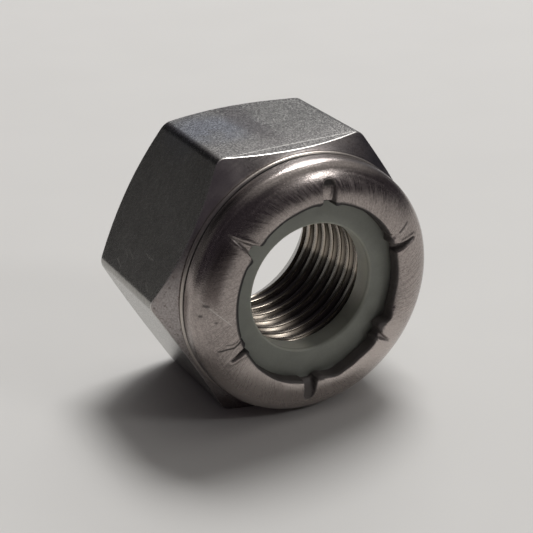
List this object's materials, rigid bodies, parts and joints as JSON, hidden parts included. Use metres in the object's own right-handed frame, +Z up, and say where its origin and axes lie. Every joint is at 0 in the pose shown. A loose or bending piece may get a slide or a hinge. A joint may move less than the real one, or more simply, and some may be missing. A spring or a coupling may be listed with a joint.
{
  "type": "nylon insert lock nut",
  "caption": "Hexagon lock nut with a rolled and staked collar that holds a nylon ring, which grips the bolt so that it doesn't shake loose.",
  "frame": {"origin": "the middle of the bounding box at floor height, under the nut as it lies on one flat", "axes": "+Z up, out of the flat that lies uppermost; Y along the bore, with the bearing face toward +Y and the nylon end toward -Y; X across two ridges"},
  "size_m": [0.0194, 0.012, 0.017],
  "materials": {
    "stainless": "drawn and turned stainless steel, semi-bright, with fine scuffs",
    "nylon": "satin grey-green nylon, slightly translucent"
  },
  "bodies": {
    "root": {"nut_body": "stainless", "nylon_ring": "nylon"}
  },
  "joints": []
}
